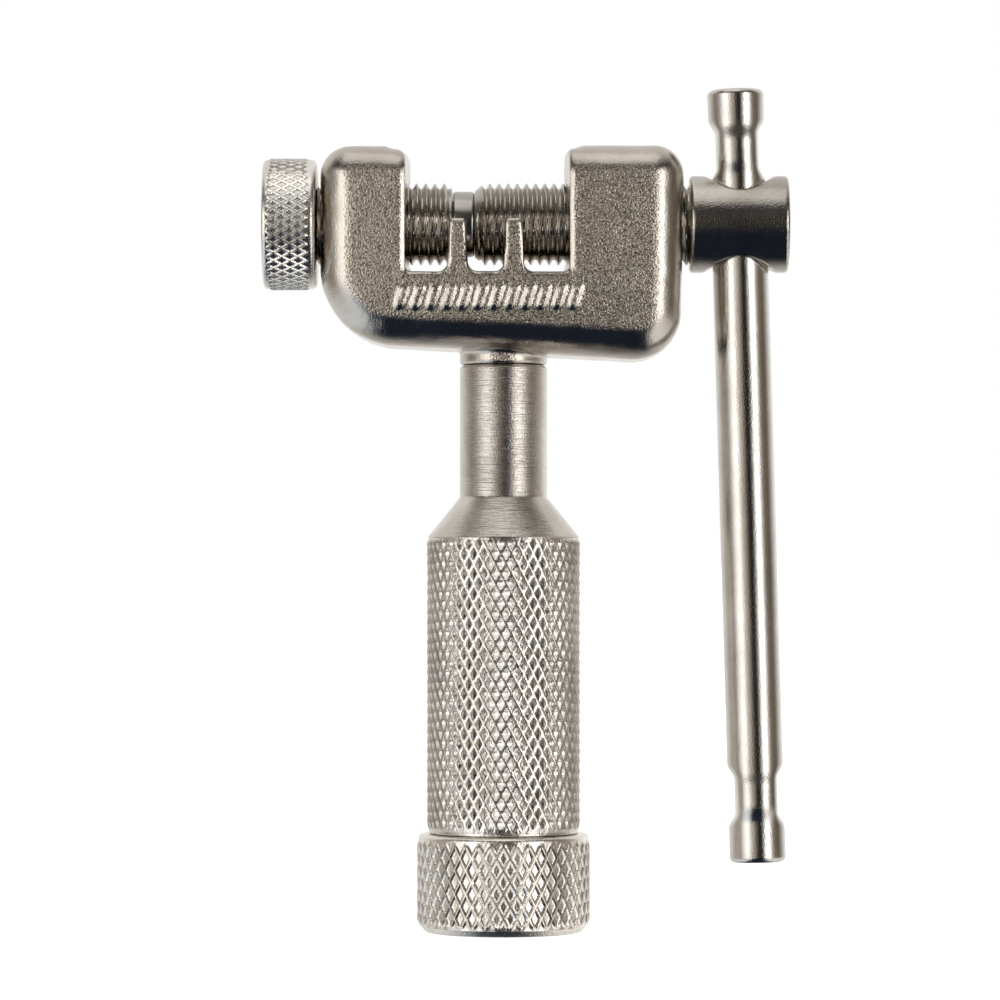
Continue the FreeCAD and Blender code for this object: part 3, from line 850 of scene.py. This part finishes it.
def studio():
    """A white studio: bright behind, two tall soft lights beside the camera, and a dark space in front
    and below. around is read by azimuth, where 0 is on the camera's side and 90 on the drive side, and
    above and below by how far the direction points up and to the drive side."""
    world = bpy.data.worlds.new("studio")
    bpy.context.scene.world = world
    world.use_nodes = True
    nodes, links = world.node_tree.nodes, world.node_tree.links
    parts = nodes.new("ShaderNodeSeparateXYZ")
    links.new(nodes.new("ShaderNodeTexCoord").outputs["Generated"], parts.inputs["Vector"])
    x, y, z = parts.outputs

    azimuth = nodes.new("ShaderNodeMath")
    azimuth.operation = "ARCTAN2"
    front = mapped(nodes, links, y, -1, 1, 1, -1)
    links.new(x, azimuth.inputs[0])
    links.new(front, azimuth.inputs[1])
    turn = mapped(nodes, links, azimuth.outputs["Value"], -math.pi, math.pi, 0, 1)
    brightest = 3.0
    around = [
        (-180, grey(1.0)), (-133, grey(0.85)), (-97, (0.30, 0.25, 0.20)), (-75, grey(0.45)),
        (-54, grey(1.7)), (-40, grey(2.1)), (-28, grey(0.85)), (-15, (0.56, 0.49, 0.40)),
        (-3, grey(0.08)), (7, grey(0.015)),
        (17, grey(0.03)), (26, grey(0.6)), (36, grey(2.8)), (48, grey(2.6)), (58, grey(0.7)),
        (72, (0.24, 0.20, 0.16)), (97, (0.17, 0.14, 0.11)), (116, grey(0.6)), (138, grey(1.1)),
        (180, grey(1.0)),
    ]
    stops = [
        (degrees / 360 + 0.5, tuple(part / brightest for part in colour)) for degrees, colour in around
    ]
    scaled = nodes.new("ShaderNodeVectorMath")
    scaled.operation = "SCALE"
    scaled.inputs["Scale"].default_value = brightest
    links.new(ramp(nodes, links, turn, stops), scaled.inputs[0])

    above = [
        (0.0, grey(0.3)), (0.42, grey(0.06)), (0.67, grey(0.1)), (0.8, grey(0.35)), (0.9, grey(0.62)),
        (1.0, grey(0.66)),
    ]
    behind = mapped(nodes, links, y, -0.1, 0.35, 0, 1)
    high = blend(nodes, links, behind, ramp(nodes, links, z, above), grey(0.85))

    below = [
        (0.0, grey(0.7)), (0.2, (1.0, 1.1, 1.2)), (0.32, (0.016, 0.023, 0.038)),
        (0.68, (0.016, 0.021, 0.034)), (0.8, grey(1.3)), (1.0, grey(0.7)),
    ]
    side = mapped(nodes, links, x, -1, 1, 0, 1)
    far_behind = mapped(nodes, links, y, 0.15, 0.95, 0, 1)
    low = blend(nodes, links, far_behind, ramp(nodes, links, side, below), grey(0.9))

    upward = mapped(nodes, links, z, 0.2, 0.5, 0, 1)
    downward = mapped(nodes, links, z, -0.1, -0.38, 0, 1)
    whole = blend(nodes, links, downward, blend(nodes, links, upward, scaled.outputs["Vector"], high), low)

    background = nodes["Background"]
    links.new(whole, background.inputs["Color"])
    seen = nodes.new("ShaderNodeBackground")
    seen.inputs["Color"].default_value = (1, 1, 1, 1)
    path = nodes.new("ShaderNodeLightPath")
    mix = nodes.new("ShaderNodeMixShader")
    links.new(path.outputs["Is Camera Ray"], mix.inputs["Fac"])
    links.new(background.outputs["Background"], mix.inputs[1])
    links.new(seen.outputs["Background"], mix.inputs[2])
    links.new(mix.outputs["Shader"], nodes["World Output"].inputs["Surface"])


def softbox(name, azimuth, elevation, width, height, power):
    """A rectangular lamp round the tool, facing it. Azimuth 0 is on the camera's side and 90 on the drive
    side."""
    distance = 0.6
    lamp = bpy.data.lights.new(name, "AREA")
    lamp.shape = "RECTANGLE"
    lamp.size, lamp.size_y = width, height
    lamp.energy = power
    lamp.color = (1.0, 0.98, 0.95)
    made = bpy.data.objects.new(name, lamp)
    bpy.context.scene.collection.objects.link(made)
    a, e = math.radians(azimuth), math.radians(elevation)
    centre = np.array([0.0, 0.0, 0.055])
    offset = np.array([math.sin(a) * math.cos(e), -math.cos(a) * math.cos(e), math.sin(e)]) * distance
    made.location = centre + offset
    made.rotation_euler = (math.pi / 2 - e, 0, a)


def floor():
    """A wide pale floor. It glows a little, so that it is as white as the background."""
    size = 40.0
    corners = [(-size, -size, 0), (size, -size, 0), (size, size, 0), (-size, size, 0)]
    mesh = bpy.data.meshes.new("floor")
    mesh.from_pydata(corners, [], [(0, 1, 2, 3)])
    plane = bpy.data.objects.new("floor", mesh)
    bpy.context.scene.collection.objects.link(plane)
    made, _, _, surface = material("pale_floor")
    surface.inputs["Base Color"].default_value = (0.75, 0.75, 0.75, 1)
    surface.inputs["Roughness"].default_value = 0.9
    surface.inputs["Emission Color"].default_value = (1, 1, 1, 1)
    surface.inputs["Emission Strength"].default_value = 0.86
    mesh.materials.append(made)
    plane.visible_glossy = False


def camera():
    """A long lens in front of the tool, a little below the middle and tilted up slightly."""
    made = bpy.data.objects.new("camera", bpy.data.cameras.new("camera"))
    bpy.context.scene.collection.objects.link(made)
    bpy.context.scene.camera = made
    made.data.sensor_width = 36
    made.data.lens = 155.6
    made.location = (-0.0004, -0.5, 0.043)
    aim = np.array([-0.0004, 0.0, 0.0498]) - np.array(made.location)
    made.rotation_euler = (math.pi / 2 + math.atan2(aim[2], aim[1]), 0, 0)


forged_frame()
handle()
end_cap()
anvil_knob()
anvil_screw()
anvil_nose()
drive_spindle()
tommy_bar()
carried_over()
studio()
softbox("top_box", azimuth=-20, elevation=70, width=0.5, height=0.5, power=0.35)
floor()
camera()
bpy.context.scene.view_settings.view_transform = "Standard"
